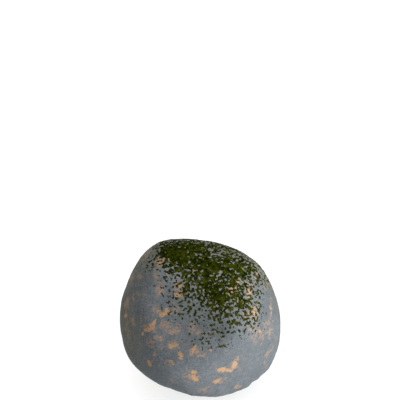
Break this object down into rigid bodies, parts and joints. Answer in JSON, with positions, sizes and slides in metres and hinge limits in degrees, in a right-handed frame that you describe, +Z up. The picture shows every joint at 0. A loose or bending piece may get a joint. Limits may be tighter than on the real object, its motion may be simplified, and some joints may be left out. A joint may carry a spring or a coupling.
{
  "type": "mossy rock",
  "caption": "Rounded grey cobble with worn tan patches, a flat foot to rest on and a low mat of dark green moss on its top.",
  "frame": {"origin": "on the ground under the middle of the stone's bounding box", "axes": "+Z up, +X along the stone's longest side; the broad face with the tan patches looks up and towards -Y"},
  "size_m": [0.0994, 0.0939, 0.0892],
  "materials": {
    "stone": "matt blue-grey stone, finely speckled, with worn tan patches",
    "moss": "dry dark olive-green moss crumbs"
  },
  "bodies": {
    "root": {"rock": "stone", "moss": "moss"}
  },
  "joints": []
}
